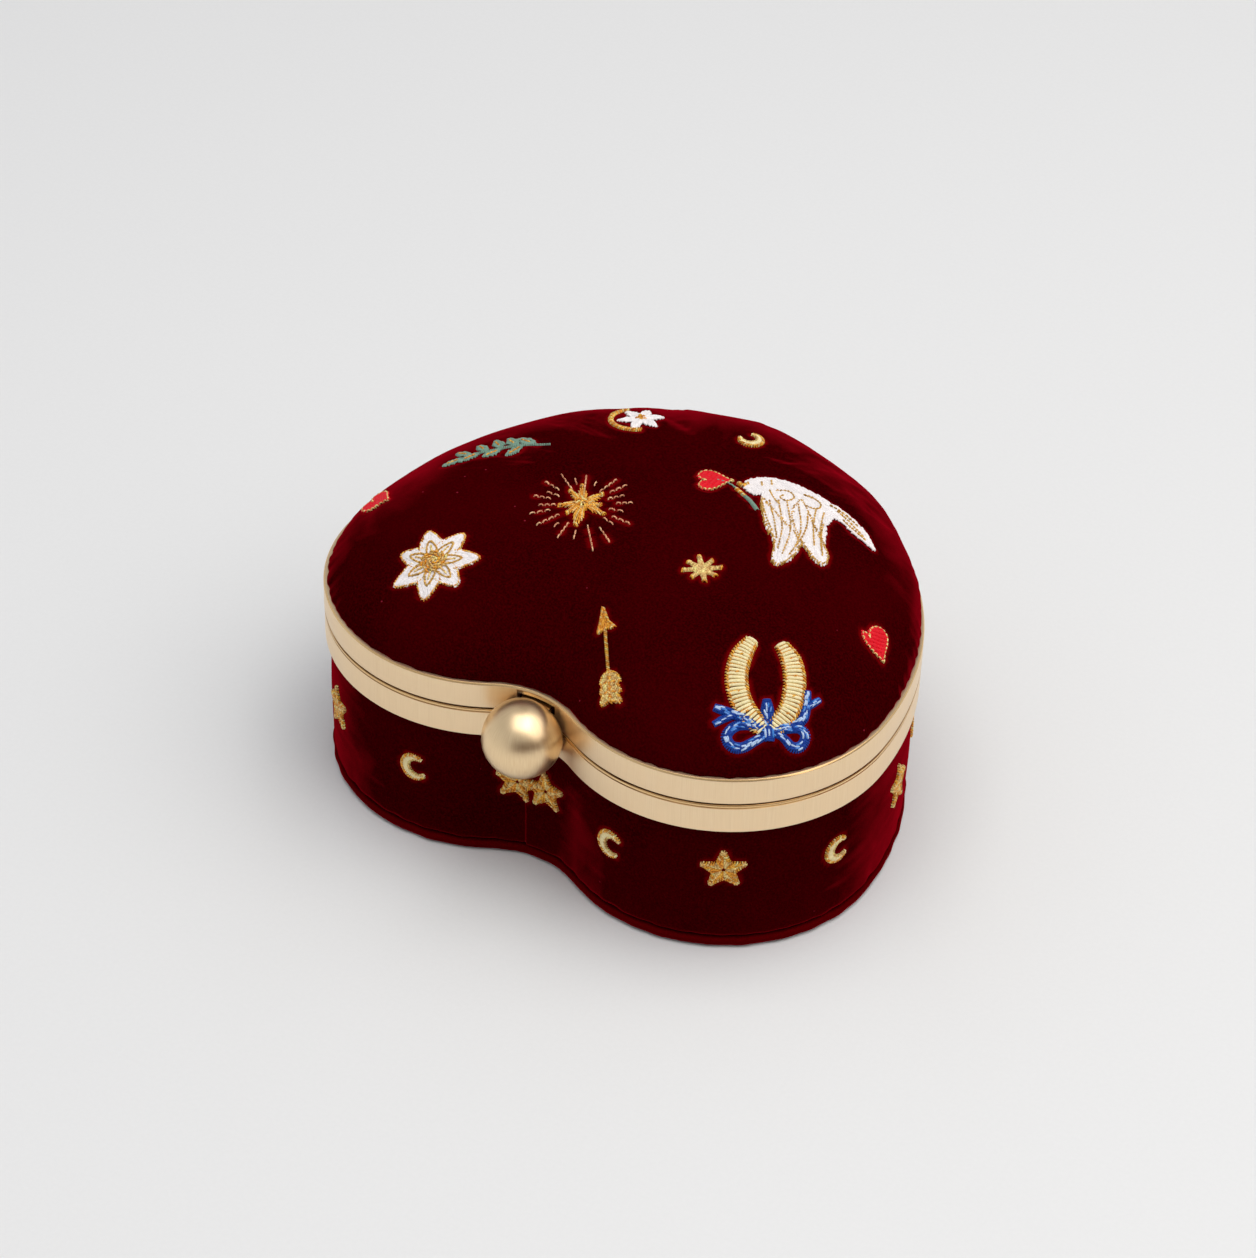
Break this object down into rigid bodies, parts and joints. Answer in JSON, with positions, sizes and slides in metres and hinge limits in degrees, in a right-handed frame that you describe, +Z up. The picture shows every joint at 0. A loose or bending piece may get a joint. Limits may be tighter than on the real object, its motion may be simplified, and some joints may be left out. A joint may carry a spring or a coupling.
{
  "type": "heart-shaped velvet trinket box",
  "caption": "Heart-shaped hard box covered in embroidered velvet, with a padded hinged lid, brass frames round the seam and a brass ball clasp in the cleft.",
  "frame": {"origin": "centre of the footprint, ball and hinge included, on the surface that the box stands on", "axes": "+Z up; the cleft and the ball clasp face -Y, the tip and the hinge are at +Y; +X is to the right seen from the front"},
  "size_m": [0.15, 0.138, 0.0741],
  "materials": {
    "velvet": "burgundy silk velvet with a short dense pile",
    "board": "plain rigid greyboard",
    "satin": "burgundy satin lining",
    "wadding": "white polyester wadding",
    "brushed_brass": "pale brass, brushed across the band and lacquered",
    "steel": "plain zinc-plated steel"
  },
  "bodies": {
    "base": {"base_panel": "velvet", "base_board": "board", "base_wall": "board", "base_velvet": "velvet", "base_lining": "satin", "base_cushion": "satin", "lower_frame": "brushed_brass", "keeper": "steel", "keeper_rivets": "steel", "hinge_leaf_lower": "brushed_brass", "hinge_rivets_lower": "brushed_brass", "hinge_pin": "steel"},
    "lid": {"lid_shell": "board", "lid_padding": "wadding", "lid_velvet": "velvet", "lid_lining": "satin", "upper_frame": "brushed_brass", "hinge_leaf_upper": "brushed_brass", "hinge_rivets_upper": "brushed_brass", "catch_bracket": "steel", "bracket_rivets": "steel", "catch_pivot_pin": "steel", "catch_spring": "steel"},
    "catch": {"catch_lever": "brushed_brass", "clasp_ball": "brushed_brass", "ball_screw": "steel"}
  },
  "joints": [
    {"name": "lid_hinge", "type": "hinge", "parent": "base", "child": "lid", "pos_m": [0, 0.06671, 0.0465], "axis": [-1, 0, 0], "range_deg": [0, 100]},
    {"name": "catch_tilt", "type": "hinge", "parent": "lid", "child": "catch", "pos_m": [0, -0.04981, 0.0506], "axis": [-1, 0, 0], "range_deg": [0, 10], "stiffness_Nm_per_rad": 0.02, "springref_deg": -20.05}
  ]
}
